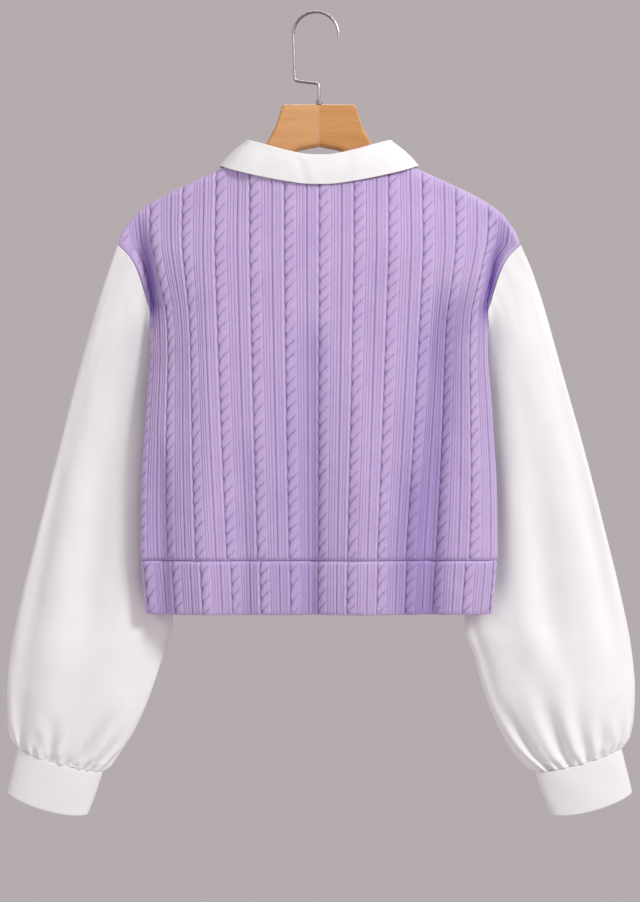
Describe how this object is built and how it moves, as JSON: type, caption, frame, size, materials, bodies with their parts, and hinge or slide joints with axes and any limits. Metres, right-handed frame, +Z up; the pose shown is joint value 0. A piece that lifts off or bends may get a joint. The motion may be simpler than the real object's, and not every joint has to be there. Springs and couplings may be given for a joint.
{
  "type": "knitted crop top on a clothes hanger",
  "caption": "Cropped cable-knit top with a turned-down shirt collar, full woven sleeves gathered into cuffs and a knit hem band, hung on a contoured hanger.",
  "frame": {"origin": "the inside of the hook's crown, at its top, in the middle of the wire's thickness", "axes": "+Z up, +X to the right in the picture, -Y the way the garment's back faces"},
  "size_m": [0.687, 0.0743, 0.8861],
  "materials": {
    "knit": "lavender cable knit",
    "shirt_cloth": "white woven shirt cloth",
    "wood_light": "clear satin lacquer",
    "wood_dark": "clear satin lacquer",
    "metal": "bright plated wire"
  },
  "bodies": {
    "root": {"back_panel": "knit", "front_panel": "knit", "hem_band_back": "knit", "hem_band_front": "knit", "sleeve_left": "shirt_cloth", "sleeve_right": "shirt_cloth", "cuff_left": "shirt_cloth", "cuff_right": "shirt_cloth", "collar_stand": "shirt_cloth", "collar_leaf": "shirt_cloth", "hanger_arm_left": "wood_light", "hanger_arm_right": "wood_dark", "hanger_ferrule": "metal", "hanger_hook": "metal"}
  },
  "joints": []
}
